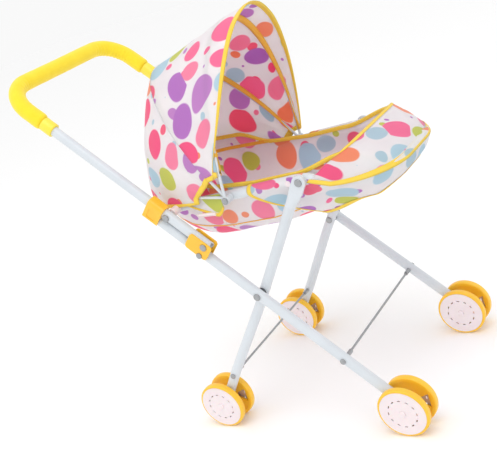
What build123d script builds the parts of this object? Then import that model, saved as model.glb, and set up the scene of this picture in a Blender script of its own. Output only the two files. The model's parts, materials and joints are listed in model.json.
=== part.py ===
from build123d import *

from math import asin, cos, degrees, pi, radians, sin
import os

os.makedirs("parts", exist_ok=True)

# A folding doll stroller. X runs forward, Y to the left, Z up, and the origin is on the floor
# under the middle of the stroller. "Lane" is the sideways distance of a tube from the middle:
# the front legs share one lane with the handle, the rear legs run inside them, and the seat
# rail runs inside the rear legs, so that all three pass each other when the frame folds.

# Tubes and their lanes
tube_od = 14
tube_wall = 1
tube_radius = tube_od / 2
bore_radius = tube_radius - tube_wall
front_lane = 122
rear_lane = 107
seat_lane = 92
sides = (("left", 1), ("right", -1))

# Wheels
wheelbase = 286
wheel_radius = 35
rear_axle_x = -74.5
front_axle = Vector(rear_axle_x + wheelbase, 0, wheel_radius)
rear_axle = Vector(rear_axle_x, 0, wheel_radius)

# Frame angles and distances up the front leg, measured from its axle
leg_angle = 46
front_leg_length = 426
rod_station = 98
leg_pivot_station = 237
handle_pivot_station = 332
seat_pivot_station = 397
handle_offset = 16
handle_top_station = 691
handle_corner = 45

# Rear leg, measured from its axle
rear_rod_station = 55
rear_bend_station = 64
rear_straight_station = 178
seat_top_x = rear_axle_x + 223
seat_top_z = 348

# Seat rail and hood hinge
rail_knee_x = rear_axle_x + 262
rail_front_x = rear_axle_x + 334
rail_front_z = 337.5
rail_corner = 65
hinge_x = rear_axle_x + 113

# Fasteners and clearances
rivet_d = 5
screw_d = 4
rod_screw_d = 3
head_d = 10
head_rise = 2
running = 0.05
seating = 0.1
clear = 0.3

along = Vector(-cos(radians(leg_angle)), 0, sin(radians(leg_angle)))
across = Vector(sin(radians(leg_angle)), 0, cos(radians(leg_angle)))
leg_pivot = front_axle + along * leg_pivot_station
handle_pivot = front_axle + along * handle_pivot_station + across * handle_offset
seat_pivot = front_axle + along * seat_pivot_station + across * handle_offset
seat_top = Vector(seat_top_x, 0, seat_top_z)
rear_along = (leg_pivot - rear_axle).normalized()
rear_leg_length = (leg_pivot - rear_axle).length + (seat_top - leg_pivot).length
rail_along = (seat_top - seat_pivot).normalized()
hinge = seat_pivot + rail_along * ((hinge_x - seat_pivot.X) / rail_along.X)


def lane_plane(point, x_dir, lane=0):
    """Upright plane facing left, through a point of the frame, at one lane."""
    return Plane(origin=point + Vector(0, lane, 0), x_dir=x_dir, z_dir=(0, 1, 0))


def section_plane(point, direction, lane=0):
    """Plane square to a tube, with its local X pointing right."""
    return Plane(origin=point + Vector(0, lane, 0), x_dir=(0, -1, 0), z_dir=direction)


def swept_tube(points, radii, outer, inner=0):
    """Round tube along straight runs joined by bends."""
    with BuildPart() as tube:
        with BuildLine() as route:
            FilletPolyline(*points, radius=radii)
        with BuildSketch(Plane(origin=route.line @ 0, z_dir=route.line % 0)):
            Circle(outer)
            if inner:
                Circle(inner, mode=Mode.SUBTRACT)
        sweep(path=route.line)
    return tube.part


def fastener(plane, grip, shank=rivet_d, head=head_d, rise=head_rise, both_ends=True):
    """Shank along the plane's normal, a domed head at its foot and, on a rivet, at its end."""
    with BuildPart() as piece:
        with BuildSketch(plane):
            Circle(shank / 2)
        extrude(amount=grip)
        with BuildSketch(plane):
            Circle(head / 2)
        extrude(amount=-rise)
        if both_ends:
            with BuildSketch(plane.offset(grip)):
                Circle(head / 2)
            extrude(amount=rise)
        rims = piece.edges().filter_by(GeomType.CIRCLE).group_by(Axis(plane.origin, plane.z_dir))
        fillet(rims[0], rise * 0.7)
        if both_ends:
            rims = piece.edges().filter_by(GeomType.CIRCLE).group_by(
                Axis(plane.origin, plane.z_dir))
            fillet(rims[-1], rise * 0.7)
    return piece.part


def leg_end(plane):
    """Moulded plug: a rounded eye round the axle, and a shank up into the tube."""
    with BuildPart() as plug:
        with BuildSketch(plane):
            Circle(tube_radius)
            with Locations((plug_head / 2, 0)):
                Rectangle(plug_head, tube_od)
        extrude(amount=plug_half_width, both=True)
        fillet(plug.faces().filter_by(Axis.Y).edges(), 1.5)
        with BuildSketch(Plane(origin=plane.origin + plane.x_dir * plug_head, z_dir=plane.x_dir)):
            Circle(bore_radius - seating)
        extrude(amount=plug_shank)
        with BuildSketch(plane):
            Circle(rivet_d / 2 + running)
        extrude(amount=tube_od, both=True, mode=Mode.SUBTRACT)
    return plug.part


def cross_rod(point):
    """Thin rod from tube to tube, with a tapped sleeve at each end for its screw."""
    half = front_lane - tube_radius - seating
    with BuildPart() as rod:
        with BuildSketch(lane_plane(point, (1, 0, 0))):
            Circle(rod_d / 2)
        extrude(amount=half - sleeve_length / 2, both=True)
        for _, side in sides:
            end = lane_plane(point, (1, 0, 0), side * (half - sleeve_length))
            with BuildSketch(end):
                Circle(sleeve_d / 2)
            extrude(amount=side * sleeve_length)
            with BuildSketch(end.offset(side * sleeve_length / 3)):
                Circle(rod_screw_d / 2 + running)
            extrude(amount=side * sleeve_length, mode=Mode.SUBTRACT)
    return rod.part


def rod_screws(point):
    """Pan-head screws through both walls of the legs into the rod's sleeves."""
    reach = tube_od + sleeve_length / 2
    outside = front_lane + tube_radius + seating
    with BuildPart() as screws:
        for _, side in sides:
            face = Plane(origin=point + Vector(0, side * outside, 0), z_dir=(0, -side, 0))
            add(fastener(face, reach, rod_screw_d, 8, head_rise, False))
    return screws.part


def save(piece, name):
    """Label a finished piece and write its STEP file."""
    piece.part.label = name
    export_step(piece.part, f"parts/{name}.step")


# Leg ends and rods
plug_head = 10
plug_shank = 16
plug_half_width = 6.8
rod_d = 3.2
sleeve_d = 6
sleeve_length = 12
hole_depth = tube_od

# --- Front frame: the fixed base of the linkage ---

rod_point = front_axle + along * rod_station
bracket_screw_point = front_axle + along * handle_pivot_station

for side_name, side in sides:
    lane = side * front_lane
    with BuildPart() as front_leg:
        with BuildSketch(section_plane(front_axle + along * plug_head, along, lane)):
            Circle(tube_radius)
            Circle(bore_radius, mode=Mode.SUBTRACT)
        extrude(amount=front_leg_length - plug_head)
        for station, hole_d in (
            (rod_station, rod_screw_d),
            (leg_pivot_station, rivet_d),
            (handle_pivot_station, screw_d),
        ):
            with BuildSketch(lane_plane(front_axle + along * station, along, lane)):
                Circle(hole_d / 2 + running)
            extrude(amount=hole_depth, both=True, mode=Mode.SUBTRACT)
    save(front_leg, f"front_leg_{side_name}")

with BuildPart() as front_leg_ends:
    for _, side in sides:
        add(leg_end(lane_plane(front_axle, along, side * front_lane)))
save(front_leg_ends, "front_leg_ends")

with BuildPart() as front_cross_rod:
    add(cross_rod(rod_point))
save(front_cross_rod, "front_cross_rod")

with BuildPart() as front_rod_screws:
    add(rod_screws(rod_point))
save(front_rod_screws, "front_rod_screws")

# Open-topped bracket that holds the handle's foot in front of the leg
bracket_length = 36
bracket_start = 321
bracket_low = -2
bracket_high = 23
bracket_corner = 5
wall_inside = tube_radius + clear
wall_outside = tube_radius + 2.5
web_low = tube_radius + seating
web_high = 8.3
web_start = 343
web_length = 13

for side_name, side in sides:
    lane = side * front_lane
    with BuildPart() as lower_bracket:
        with BuildSketch(lane_plane(front_axle, along, lane)):
            with Locations((bracket_start + bracket_length / 2, (bracket_low + bracket_high) / 2)):
                RectangleRounded(bracket_length, bracket_high - bracket_low, bracket_corner)
        extrude(amount=wall_outside, both=True)
        fillet(lower_bracket.faces().filter_by(Axis.Y).edges(), 0.8)
        with BuildSketch(lane_plane(front_axle, along, lane)):
            with Locations((bracket_start + bracket_length / 2, (bracket_low + bracket_high) / 2)):
                Rectangle(2 * bracket_length, 2 * bracket_length)
        extrude(amount=wall_inside, both=True, mode=Mode.SUBTRACT)
        with BuildSketch(lane_plane(front_axle, along, lane)):
            with Locations((web_start + web_length / 2, (web_low + web_high) / 2)):
                Rectangle(web_length, web_high - web_low)
        extrude(amount=wall_inside + 1, both=True)
        for point, hole_d in ((handle_pivot, rivet_d), (bracket_screw_point, screw_d)):
            with BuildSketch(lane_plane(point, along, lane)):
                Circle(hole_d / 2 + running)
            extrude(amount=hole_depth, both=True, mode=Mode.SUBTRACT)
    save(lower_bracket, f"lower_bracket_{side_name}")

bracket_grip = 2 * (wall_outside + seating)
with BuildPart() as bracket_screws:
    for _, side in sides:
        face = Plane(
            origin=bracket_screw_point + Vector(0, side * (front_lane + bracket_grip / 2), 0),
            z_dir=(0, -side, 0),
        )
        add(fastener(face, bracket_grip, screw_d, 8.5))
save(bracket_screws, "bracket_screws")

with BuildPart() as handle_pivot_rivets:
    for _, side in sides:
        face = Plane(
            origin=handle_pivot + Vector(0, side * (front_lane + bracket_grip / 2), 0),
            z_dir=(0, -side, 0),
        )
        add(fastener(face, bracket_grip))
save(handle_pivot_rivets, "handle_pivot_rivets")

# The main rivet joins the front leg to the rear leg, with a thin washer between the tubes
main_grip = front_lane - rear_lane + tube_od + 2 * seating
washer_od = 13
washer_thickness = 0.4
with BuildPart() as leg_pivot_rivets:
    for _, side in sides:
        face = Plane(
            origin=leg_pivot + Vector(0, side * (front_lane + tube_radius + seating), 0),
            z_dir=(0, -side, 0),
        )
        add(fastener(face, main_grip))
save(leg_pivot_rivets, "leg_pivot_rivets")

with BuildPart() as leg_pivot_washers:
    for _, side in sides:
        middle = side * (front_lane + rear_lane) / 2
        with BuildSketch(lane_plane(leg_pivot, along, middle)):
            Circle(washer_od / 2)
            Circle(rivet_d / 2 + running, mode=Mode.SUBTRACT)
        extrude(amount=washer_thickness / 2, both=True)
save(leg_pivot_washers, "leg_pivot_washers")

# --- Handle: one bent tube that turns in the lower brackets ---

grip_start = 618
grip_radius = 12
collar_start = 598
collar_radius = 10
collar_length = 19.5
end_radius = tube_radius + 0.4
handle_foot = handle_pivot_station - end_radius


def handle_route(start):
    """Corners of the handle's path, from one side round the top to the other."""
    low = front_axle + along * start + across * handle_offset
    high = front_axle + along * handle_top_station + across * handle_offset
    right = Vector(0, -front_lane, 0)
    left = Vector(0, front_lane, 0)
    return (low + right, high + right, high + left, low + left)


with BuildPart() as handle_tube:
    add(swept_tube(handle_route(handle_foot), handle_corner, tube_radius, bore_radius))
    for _, side in sides:
        lane = side * front_lane
        with BuildSketch(lane_plane(handle_pivot, along, lane)):
            with Locations((-tube_radius, 0)):
                Rectangle(tube_od, 2 * tube_od)
            Circle(end_radius, mode=Mode.SUBTRACT)
        extrude(amount=tube_od, both=True, mode=Mode.SUBTRACT)
        for point in (handle_pivot, seat_pivot):
            with BuildSketch(lane_plane(point, along, lane)):
                Circle(rivet_d / 2 + running)
            extrude(amount=hole_depth, both=True, mode=Mode.SUBTRACT)
save(handle_tube, "handle_tube")

with BuildPart() as handle_grip:
    add(swept_tube(handle_route(grip_start), handle_corner, grip_radius, tube_radius + running))
save(handle_grip, "handle_grip")

with BuildPart() as grip_collars:
    for _, side in sides:
        start = front_axle + along * collar_start + across * handle_offset
        with BuildSketch(section_plane(start, along, side * front_lane)):
            Circle(collar_radius)
            Circle(tube_radius + running, mode=Mode.SUBTRACT)
        extrude(amount=collar_length)
    fillet(grip_collars.edges().filter_by(GeomType.CIRCLE).group_by(SortBy.RADIUS)[-1], 1.5)
save(grip_collars, "grip_collars")

# Snap clip on the handle: its open jaws hold the top of the front leg
clip_start = 404
clip_length = 25
clip_low = -3
clip_high = handle_offset + 9.5
clip_floor = tube_radius + 0.4
clip_corner = 6
recess = 14
recess_depth = 0.8

for side_name, side in sides:
    lane = side * front_lane
    clip_foot = section_plane(front_axle + along * clip_start, along, lane)
    with BuildPart() as upper_clip:
        with BuildSketch(clip_foot):
            with Locations((0, (clip_low + clip_high) / 2)):
                Rectangle(2 * wall_outside, clip_high - clip_low)
        extrude(amount=clip_length)
        top_edges = upper_clip.edges().filter_by(Axis(clip_foot.origin, along)).group_by(
            Axis(clip_foot.origin, across))[-1]
        fillet(top_edges, clip_corner)
        with BuildSketch(clip_foot):
            with Locations((0, handle_offset)):
                Circle(tube_radius + running)
            with Locations((0, clip_floor - tube_od)):
                Rectangle(2 * wall_inside, 2 * tube_od)
        extrude(amount=clip_length, mode=Mode.SUBTRACT)
        for face_side in (1, -1):
            face = lane_plane(
                front_axle + along * (clip_start + clip_length / 2) + across * recess / 2,
                along,
                lane + face_side * (wall_outside - recess_depth),
            )
            with BuildSketch(face):
                RectangleRounded(recess, recess, 2)
            extrude(amount=face_side * recess_depth, mode=Mode.SUBTRACT)
    save(upper_clip, f"upper_clip_{side_name}")

# The seat pivot passes through the handle tube, a spacer and the seat rail
spacer_radius = 6
pivot_grip = front_lane - seat_lane + tube_od + 2 * seating
with BuildPart() as seat_pivot_rivets:
    for _, side in sides:
        face = Plane(
            origin=seat_pivot + Vector(0, side * (front_lane + tube_radius + seating), 0),
            z_dir=(0, -side, 0),
        )
        add(fastener(face, pivot_grip))
save(seat_pivot_rivets, "seat_pivot_rivets")

spacer_length = front_lane - seat_lane - tube_od - 2 * clear
with BuildPart() as seat_pivot_spacers:
    for _, side in sides:
        middle = side * (front_lane + seat_lane) / 2
        with BuildSketch(lane_plane(seat_pivot, along, middle)):
            Circle(spacer_radius)
            Circle(rivet_d / 2 + running, mode=Mode.SUBTRACT)
        extrude(amount=spacer_length / 2, both=True)
save(seat_pivot_spacers, "seat_pivot_spacers")

# --- Rear frame: two legs whose feet splay out to the wheels ---

blade_half = 2
blade_lane = 103
blade_radius = 9
neck_start = rear_leg_length - 34
neck_end = rear_leg_length - 16
rear_bend_radius = 60
rear_rod_point = rear_axle + rear_along * rear_rod_station

foot_lane = Vector(0, -front_lane, 0)
top_lane = Vector(0, -rear_lane, 0)
for side_name, side in sides:
    with BuildPart() as rear_leg:
        add(
            swept_tube(
                (
                    rear_axle + rear_along * plug_head + foot_lane,
                    rear_axle + rear_along * rear_bend_station + foot_lane,
                    rear_axle + rear_along * rear_straight_station + top_lane,
                    rear_axle + rear_along * neck_start + top_lane,
                ),
                rear_bend_radius,
                tube_radius,
                bore_radius,
            )
        )
        with BuildSketch(section_plane(rear_axle + rear_along * neck_start, rear_along, -rear_lane)):
            Circle(tube_radius)
        with BuildSketch(section_plane(rear_axle + rear_along * neck_end, rear_along, -blade_lane)):
            RectangleRounded(2 * blade_half, 2 * blade_radius, blade_half * 0.9)
        loft()
        with BuildSketch(lane_plane(seat_top, rear_along, -blade_lane)):
            Circle(blade_radius)
            with Locations(((neck_end - rear_leg_length) / 2, 0)):
                Rectangle(rear_leg_length - neck_end, 2 * blade_radius)
        extrude(amount=blade_half, both=True)
        for point, hole_d in (
            (rear_rod_point, rod_screw_d),
            (leg_pivot, rivet_d),
            (seat_top, rivet_d),
        ):
            with BuildSketch(lane_plane(point, rear_along, -rear_lane)):
                Circle(hole_d / 2 + running)
            extrude(amount=2 * hole_depth, both=True, mode=Mode.SUBTRACT)
        if side > 0:
            mirror(about=Plane.XZ, mode=Mode.REPLACE)
    save(rear_leg, f"rear_leg_{side_name}")

with BuildPart() as rear_leg_ends:
    for _, side in sides:
        add(leg_end(lane_plane(rear_axle, rear_along, side * front_lane)))
save(rear_leg_ends, "rear_leg_ends")

with BuildPart() as rear_cross_rod:
    add(cross_rod(rear_rod_point))
save(rear_cross_rod, "rear_cross_rod")

with BuildPart() as rear_rod_screws:
    add(rod_screws(rear_rod_point))
save(rear_rod_screws, "rear_rod_screws")

# These rivets stop short of the seat rail and its cloth sleeve, where the linkage is opened
cloth_room = 0.9
top_rivet_grip = blade_lane + blade_half - seat_lane - tube_radius - cloth_room + seating
with BuildPart() as seat_top_rivets:
    for _, side in sides:
        face = Plane(
            origin=seat_top + Vector(0, side * (blade_lane + blade_half + seating), 0),
            z_dir=(0, -side, 0),
        )
        add(fastener(face, top_rivet_grip, both_ends=False))
save(seat_top_rivets, "seat_top_rivets")

# --- Seat frame: one bent rail, the fixed rear bow and the fabric seat ---

knee_radius = 40
rail_back = seat_pivot - rail_along * end_radius
rail_points = []
for _, side in sides:
    lane = Vector(0, side * seat_lane, 0)
    run = [
        rail_back + lane,
        seat_top + rail_along * 6 + lane,
        Vector(rail_knee_x, 0, rail_front_z) + lane,
        Vector(rail_front_x, 0, rail_front_z) + lane,
    ]
    rail_points += run if side > 0 else run[::-1]
rail_radii = [knee_radius, knee_radius, rail_corner, rail_corner, knee_radius, knee_radius]

with BuildPart() as seat_rail:
    add(swept_tube(rail_points, rail_radii, tube_radius, bore_radius))
    for _, side in sides:
        lane = side * seat_lane
        with BuildSketch(lane_plane(seat_pivot, rail_along, lane)):
            with Locations((-tube_radius, 0)):
                Rectangle(tube_od, 2 * tube_od)
            Circle(end_radius, mode=Mode.SUBTRACT)
        extrude(amount=tube_od, both=True, mode=Mode.SUBTRACT)
        for point, hole_d in ((seat_pivot, rivet_d), (hinge, screw_d), (seat_top, rivet_d)):
            with BuildSketch(lane_plane(point, rail_along, lane)):
                Circle(hole_d / 2 + running)
            extrude(amount=hole_depth, both=True, mode=Mode.SUBTRACT)
save(seat_rail, "seat_rail")

# Hood bows: three wires whose eyes are stacked on one rivet at each side of the rail
wire_radius = 2
eye_radius = 5.6
eye_half = 1.9
bow_step = 2 * wire_radius + 0.4
rear_bow = dict(angle=174, half_width=seat_lane + tube_radius + 2.4, reach=165, square=3.2)
middle_bow = dict(angle=124, half_width=rear_bow["half_width"] + bow_step, reach=203, square=2)
front_bow = dict(angle=86, half_width=middle_bow["half_width"] + bow_step, reach=208, square=2)


def bow_plane(angle):
    """Plane through the hood hinge, local X to the left and local Y out along the bow."""
    turn = radians(angle)
    return Plane(origin=hinge, x_dir=(0, 1, 0), z_dir=(sin(turn), 0, -cos(turn)))


def arch(half_width, reach, square, base, count=14):
    """Points of a rounded arch, from its base on one side to its base on the other."""
    start = asin((base / reach) ** (square / 2))
    turns = [start + (pi - 2 * start) * i / count for i in range(count + 1)]
    points = []
    for turn in turns:
        wide = abs(cos(turn)) ** (2 / square) * (1 if cos(turn) > 0 else -1)
        points.append((half_width * wide, reach * sin(turn) ** (2 / square)))
    return points


def bow_wire(bow):
    """Bent wire with an eye at each end."""
    with BuildPart() as wire:
        with BuildLine(bow_plane(bow["angle"])) as route:
            Spline(*arch(bow["half_width"], bow["reach"], bow["square"], eye_radius - 1))
        with BuildSketch(Plane(origin=route.line @ 0, z_dir=route.line % 0)):
            Circle(wire_radius)
        sweep(path=route.line)
        for _, side in sides:
            eye = lane_plane(hinge, (1, 0, 0), side * bow["half_width"])
            with BuildSketch(eye):
                Circle(eye_radius)
            extrude(amount=eye_half, both=True)
            with BuildSketch(eye):
                Circle(screw_d / 2 + running)
            extrude(amount=2 * eye_half, both=True, mode=Mode.SUBTRACT)
    return wire.part


for name, bow in (("rear", rear_bow), ("middle", middle_bow), ("front", front_bow)):
    with BuildPart() as hood_bow:
        add(bow_wire(bow))
    save(hood_bow, f"hood_{name}_bow")

hood_outside = front_bow["half_width"] + wire_radius + clear
with BuildPart() as hood_rivets:
    for _, side in sides:
        face = Plane(origin=hinge + Vector(0, side * hood_outside, 0), z_dir=(0, -side, 0))
        add(fastener(face, hood_outside - seat_lane + tube_radius + seating, screw_d, 9))
save(hood_rivets, "hood_rivets")

# Hood fabric: thin shells over the wires, open at the sides below the bare arms
cloth = 1.2
fabric_base = 50
over_wire = wire_radius + clear


def hood_panel(stations):
    """Cloth shell through arches at several angles round the hinge."""
    with BuildPart() as panel:
        for angle, half_width, reach, square in stations:
            outer = arch(half_width + cloth, reach + cloth, square, fabric_base)
            inner = arch(half_width, reach, square, fabric_base)
            with BuildSketch(bow_plane(angle)):
                with BuildLine():
                    Spline(*outer)
                    Spline(*inner)
                    Line(outer[0], inner[0])
                    Line(outer[-1], inner[-1])
                make_face()
        loft()
    return panel.part


visor_angle = 75
visor_reach = 227
front_half = front_bow["half_width"] + over_wire
middle_half = middle_bow["half_width"] + over_wire
rear_half = rear_bow["half_width"] + over_wire
front_panel_end = middle_bow["angle"] - 3.5
back_panel_start = middle_bow["angle"] - 2
back_panel_end = rear_bow["angle"] - 3
with BuildPart() as hood_front_panel:
    add(
        hood_panel(
            (
                (visor_angle, front_half, visor_reach, 2),
                (front_bow["angle"], front_half, front_bow["reach"] + over_wire, 2),
                (front_panel_end, middle_half, middle_bow["reach"] + over_wire, 2),
            )
        )
    )
save(hood_front_panel, "hood_front_panel")

with BuildPart() as hood_back_panel:
    add(
        hood_panel(
            (
                (back_panel_start, middle_half, middle_bow["reach"] + over_wire, 2),
                (middle_bow["angle"] + 3, middle_half, middle_bow["reach"] + over_wire, 2),
                (148, (middle_half + rear_half) / 2, 188, 2.5),
                (back_panel_end, rear_half, rear_bow["reach"] + over_wire, rear_bow["square"]),
            )
        )
    )
save(hood_back_panel, "hood_back_panel")

# Fabric seat: a boat-shaped shell hanging inside the rail, open at the top
hull_half = 82
hull_floor_half = 62
hull_back_x = rear_axle_x - 36
hull_front_x = rail_front_x - tube_radius - 1
hull_wall = 1.5
rim_z = 350
apron_x = rear_axle_x + 287
apron_z = 376
floor_points = (
    (hull_back_x, 264),
    (rear_axle_x + 32, 256),
    (rear_axle_x + 122, 265),
    (rear_axle_x + 225, 283),
    (hull_front_x, 312),
)


def hull_block(inset, rise):
    """Solid boat shape: its plan, its side view and its front view in common."""
    rim = (
        (hull_front_x, 346 + rise),
        (apron_x + 1, apron_z - 2 + rise),
        (rear_axle_x + 205, rim_z + rise),
        (hull_back_x, rim_z + rise),
    )
    with BuildPart() as block:
        with BuildSketch(Plane.XY.offset(240)) as plan:
            with Locations(((hull_back_x + hull_front_x) / 2, 0)):
                Rectangle(hull_front_x - hull_back_x, 2 * hull_half)
            fillet(plan.vertices().group_by(Axis.X)[0], 14)
            fillet(plan.vertices().group_by(Axis.X)[-1], rail_corner - tube_radius + 3)
            offset(amount=-inset)
        extrude(amount=200)
        with BuildSketch(Plane.XZ):
            with BuildLine():
                Polyline(*[(x, z + inset) for x, z in floor_points], *rim, close=True)
            make_face()
        extrude(amount=2 * hull_half, both=True, mode=Mode.INTERSECT)
        with BuildSketch(Plane.YZ):
            with BuildLine():
                Polyline(
                    (hull_half - inset, 450),
                    (hull_half - inset, 335),
                    (hull_floor_half - inset, 255),
                    (hull_floor_half - inset, 240),
                    (inset - hull_floor_half, 240),
                    (inset - hull_floor_half, 255),
                    (inset - hull_half, 335),
                    (inset - hull_half, 450),
                    close=True,
                )
            make_face()
        extrude(amount=400, both=True, mode=Mode.INTERSECT)
    return block.part


with BuildPart() as seat_body:
    add(hull_block(0, 0))
    add(hull_block(hull_wall, 30), mode=Mode.SUBTRACT)
save(seat_body, "seat_body")

# Foot apron: slopes from its bound rear edge down and over the front of the rail
apron_wall = 1.6
apron_half = 72
with BuildPart() as foot_apron:
    with BuildSketch(Plane.XZ):
        with BuildLine():
            Polyline(
                (apron_x - 2, apron_z + 2.5),
                (rail_front_x - 5, rail_front_z + 12),
                (rail_front_x + 6, rail_front_z + 9),
                (rail_front_x + 9.5, rail_front_z - 2),
                (rail_front_x + 8, rail_front_z - 2),
                (rail_front_x + 5, rail_front_z + 8),
                (rail_front_x - 5, rail_front_z + 10.4),
                (apron_x - 2, apron_z + 0.8),
                close=True,
            )
        make_face()
    extrude(amount=apron_half, both=True)
    with BuildSketch(Plane.XY.offset(300)):
        with BuildLine():
            Polyline(
                (apron_x - 2, -apron_half),
                (rail_front_x - 25, -apron_half),
                (rail_front_x + 2, -45),
                (rail_front_x + 9.5, -15),
                (rail_front_x + 9.5, 15),
                (rail_front_x + 2, 45),
                (rail_front_x - 25, apron_half),
                (apron_x - 2, apron_half),
                close=True,
            )
        make_face()
    extrude(amount=100, mode=Mode.INTERSECT)
save(foot_apron, "foot_apron")

# Snap studs on the outside of the rail, and a cloth tongue with its toggle at each side
snap_x = rear_axle_x + 205
snap_radius = 4
tab_x = rear_axle_x + 68
toggle_radius = 2.5
toggle_length = 30
rail_outside = seat_lane + tube_radius

with BuildPart() as rail_snaps:
    for _, side in sides:
        spot = seat_pivot + rail_along * ((snap_x - seat_pivot.X) / rail_along.X)
        face = Plane(origin=spot + Vector(0, side * (rail_outside + seating), 0), z_dir=(0, side, 0))
        with BuildSketch(face):
            Circle(snap_radius)
        extrude(amount=1.6)
    fillet(rail_snaps.faces().filter_by(Axis.Y).group_by(Axis.Y)[0].edges(), 0.7)
    fillet(rail_snaps.faces().filter_by(Axis.Y).group_by(Axis.Y)[-1].edges(), 0.7)
save(rail_snaps, "rail_snaps")

with BuildPart() as side_tabs:
    for _, side in sides:
        face = lane_plane(Vector(tab_x, 0, 331), (1, 0, 0), side * (rail_outside + 1.2))
        with BuildSketch(face):
            Trapezoid(34, 16, 80)
        extrude(amount=0.8, both=True)
save(side_tabs, "side_tabs")

with BuildPart() as tab_toggles:
    for _, side in sides:
        start = Vector(tab_x - toggle_length / 2, side * (rail_outside + 2.7), 319)
        with BuildSketch(Plane(origin=start, z_dir=(1, 0, 0))):
            Circle(toggle_radius)
        extrude(amount=toggle_length)
    fillet(tab_toggles.edges().filter_by(GeomType.CIRCLE), 1.5)
save(tab_toggles, "tab_toggles")

# --- Wheels: twin spoked discs on one axle, one on each side of the leg ---

disc_gap = 9.3
disc_width = 9.4
hub_radius = 7.5
web_near = 1.2
web_far = 4.2
rim_inner = 29
cover_radius = 31.5
cover_near = 8
cover_thickness = 1.7
axle_half = 19.9
cap_radius = 4.2
cap_near = 19.2
cap_height = 1.9


def wheel_disc(centre, facing):
    """One disc of a twin wheel: hub, spoked web and rim, with a seat for the cover."""
    outline = (
        (rivet_d / 2 + running, 0),
        (hub_radius, 0),
        (hub_radius, web_near),
        (rim_inner, web_near),
        (rim_inner, 0),
        (wheel_radius, 0),
        (wheel_radius, disc_width),
        (cover_radius + seating, disc_width),
        (cover_radius + seating, cover_near),
        (rim_inner, cover_near),
        (rim_inner, web_far),
        (hub_radius, web_far),
        (hub_radius, cover_near),
        (rivet_d / 2 + running, cover_near),
    )
    base = Plane(origin=centre + Vector(0, facing * disc_gap, 0), x_dir=(1, 0, 0), z_dir=(0, 0, 1))
    with BuildPart() as disc:
        with BuildSketch(base):
            with BuildLine():
                Polyline(*[(r, facing * depth) for r, depth in outline], close=True)
            make_face()
        revolve(axis=Axis(centre, (0, 1, 0)))
        rims = disc.edges().filter_by(GeomType.CIRCLE).group_by(SortBy.RADIUS)[-1]
        fillet(rims, 2.4)
        with BuildSketch(lane_plane(centre, (1, 0, 0), facing * disc_gap)):
            with PolarLocations(0, 6):
                with BuildLine():
                    Polyline((10.5, -3.2), (26.5, -10.5), (26.5, 10.5), (10.5, 3.2), close=True)
                make_face()
        extrude(amount=facing * cover_near, mode=Mode.SUBTRACT)
    return disc.part


for end_name, axle_point in (("front", front_axle), ("rear", rear_axle)):
    for side_name, side in sides:
        wheel = f"{end_name}_{side_name}"
        centre = axle_point + Vector(0, side * front_lane, 0)
        with BuildPart() as axle:
            with BuildSketch(lane_plane(centre, (1, 0, 0))):
                Circle(rivet_d / 2)
            extrude(amount=axle_half, both=True)
        save(axle, f"{wheel}_axle")
        for disc_name, facing in (("outer", side), ("inner", -side)):
            with BuildPart() as disc:
                add(wheel_disc(centre, facing))
            save(disc, f"{wheel}_{disc_name}_wheel")
        with BuildPart() as wheel_covers:
            for facing in (1, -1):
                face = lane_plane(centre, (1, 0, 0), facing * (disc_gap + cover_near + seating))
                with BuildSketch(face):
                    Circle(cover_radius)
                    Circle(rivet_d / 2 + running, mode=Mode.SUBTRACT)
                    with PolarLocations(19.5, 12):
                        SlotOverall(4.4, 1.6, rotation=90, mode=Mode.SUBTRACT)
                extrude(amount=facing * cover_thickness)
        save(wheel_covers, f"{wheel}_wheel_covers")
        with BuildPart() as axle_caps:
            for facing in (1, -1):
                face = Plane(origin=centre + Vector(0, facing * cap_near, 0), z_dir=(0, facing, 0))
                with BuildSketch(face):
                    Circle(cap_radius)
                extrude(amount=cap_height)
            rims = axle_caps.edges().filter_by(GeomType.CIRCLE).group_by(Axis.Y)
            fillet(rims[0], 1.1)
            rims = axle_caps.edges().filter_by(GeomType.CIRCLE).group_by(Axis.Y)
            fillet(rims[-1], 1.1)
            for facing in (1, -1):
                face = Plane(origin=centre + Vector(0, facing * cap_near, 0), z_dir=(0, facing, 0))
                with BuildSketch(face):
                    Circle(rivet_d / 2 + running)
                extrude(amount=axle_half - cap_near + seating, mode=Mode.SUBTRACT)
        save(axle_caps, f"{wheel}_axle_caps")
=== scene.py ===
# %% [markdown]
# A doll stroller: crossed steel legs on twin wheels, a bent handle with a foam grip, and a
# sewn seat and hood. The hard parts come in from the engineering model with their true sizes.
# Here they get finishes, and every soft part is modelled in their frame. Lengths are metres.

# %% Load the frame
import json
import math

import bmesh
import bpy
from mathutils import Matrix, Vector, noise

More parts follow.
